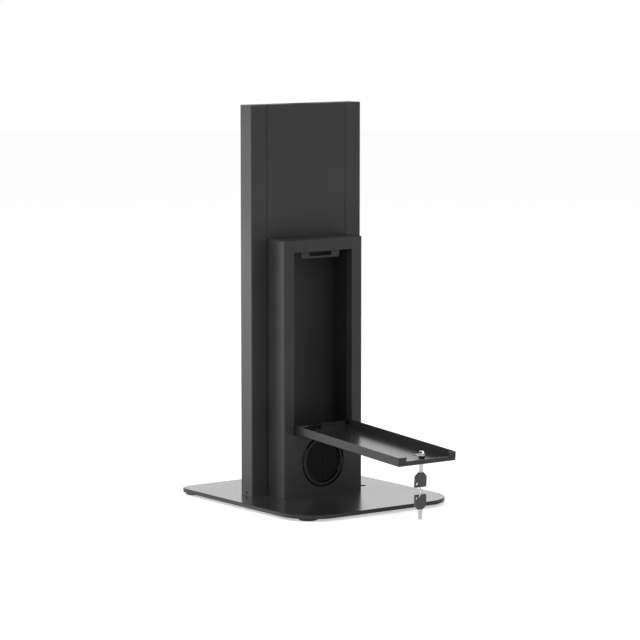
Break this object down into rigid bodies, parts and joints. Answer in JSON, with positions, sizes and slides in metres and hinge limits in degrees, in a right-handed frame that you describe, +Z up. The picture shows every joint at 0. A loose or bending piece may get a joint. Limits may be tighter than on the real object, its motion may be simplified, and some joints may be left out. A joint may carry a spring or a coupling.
{
  "type": "tablet security kiosk stand",
  "caption": "Floor stand for a tablet kiosk: steel base plate on rubber feet, folded column with a cable channel, and a lockable storage box with a drop-down door, cam lock and keys.",
  "frame": {"origin": "on the floor, under the middle of the base plate", "axes": "+Z up, +Y towards the storage box and its door, -Y towards the person who uses the tablet, +X the side of the sliding hinge pin"},
  "size_m": [0.4, 0.6002, 0.825],
  "materials": {
    "powder_coat": "satin",
    "foot_rubber": "matte",
    "flap_rubber": "satin",
    "grommet_plastic": "satin",
    "zinc_steel": "satin",
    "plate_steel": "satin",
    "spring_steel": "satin",
    "lock_chrome": "polished",
    "key_steel": "satin",
    "key_plastic": "satin"
  },
  "bodies": {
    "stand": {"base_plate": "powder_coat", "foot_box_left": "foot_rubber", "foot_box_right": "foot_rubber", "foot_user_left": "foot_rubber", "foot_user_right": "foot_rubber", "foot_screws": "zinc_steel", "foot_plate": "plate_steel", "base_bolts": "zinc_steel", "column_shell": "powder_coat", "side_screws": "zinc_steel", "head_plate": "powder_coat", "rear_cover": "powder_coat", "box_shell": "powder_coat", "floor_screws": "zinc_steel", "floor_nuts": "zinc_steel", "keeper": "powder_coat", "keeper_rivets": "zinc_steel", "grommet_ring": "grommet_plastic", "grommet_flap_left": "flap_rubber", "grommet_flap_right": "flap_rubber"},
    "door": {"door_panel": "powder_coat", "pivot_stud": "zinc_steel", "pin_bracket": "powder_coat", "pin_spring": "spring_steel", "lock_body": "lock_chrome", "lock_nut": "zinc_steel"},
    "hinge_pin": {"hinge_pin": "zinc_steel"},
    "lock_plug": {"lock_plug": "lock_chrome", "lock_cam": "zinc_steel", "cam_screw": "lock_chrome"},
    "key": {"key_blade": "key_steel", "key_head": "key_plastic"},
    "key_ring": {"key_ring": "key_steel"},
    "spare_key": {"spare_blade": "key_steel", "spare_head": "key_plastic"}
  },
  "joints": [
    {"name": "door_hinge", "type": "hinge", "parent": "stand", "child": "door", "pos_m": [0, 0.0116, 0.1578], "axis": [1, 0, 0], "range_deg": [0, 93.6]},
    {"name": "lock_turn", "type": "hinge", "parent": "door", "child": "lock_plug", "pos_m": [0, 0.35273, 0.13634], "axis": [0, 0.0628, 0.998], "range_deg": [0, 90]},
    {"name": "key_slide", "type": "slide", "parent": "lock_plug", "child": "key", "axis": [0, 0.0628, 0.998], "range_m": [0, 0.0126]},
    {"name": "key_ring_swing", "type": "hinge", "parent": "key", "child": "key_ring", "pos_m": [0.0085, 0.3489, 0.07556], "axis": [1, 0, 0], "range_deg": [-45, 45]},
    {"name": "spare_key_swing", "type": "hinge", "parent": "key_ring", "child": "spare_key", "pos_m": [0.0085, 0.3489, 0.05676], "axis": [1, 0, 0], "range_deg": [-45, 45]},
    {"name": "hinge_pin_slide", "type": "slide", "parent": "door", "child": "hinge_pin", "axis": [-1, 0, 0], "range_m": [0, 0.006], "stiffness_N_per_m": 400, "springref_m": -0.002, "deforming": ["pin_spring"]}
  ]
}
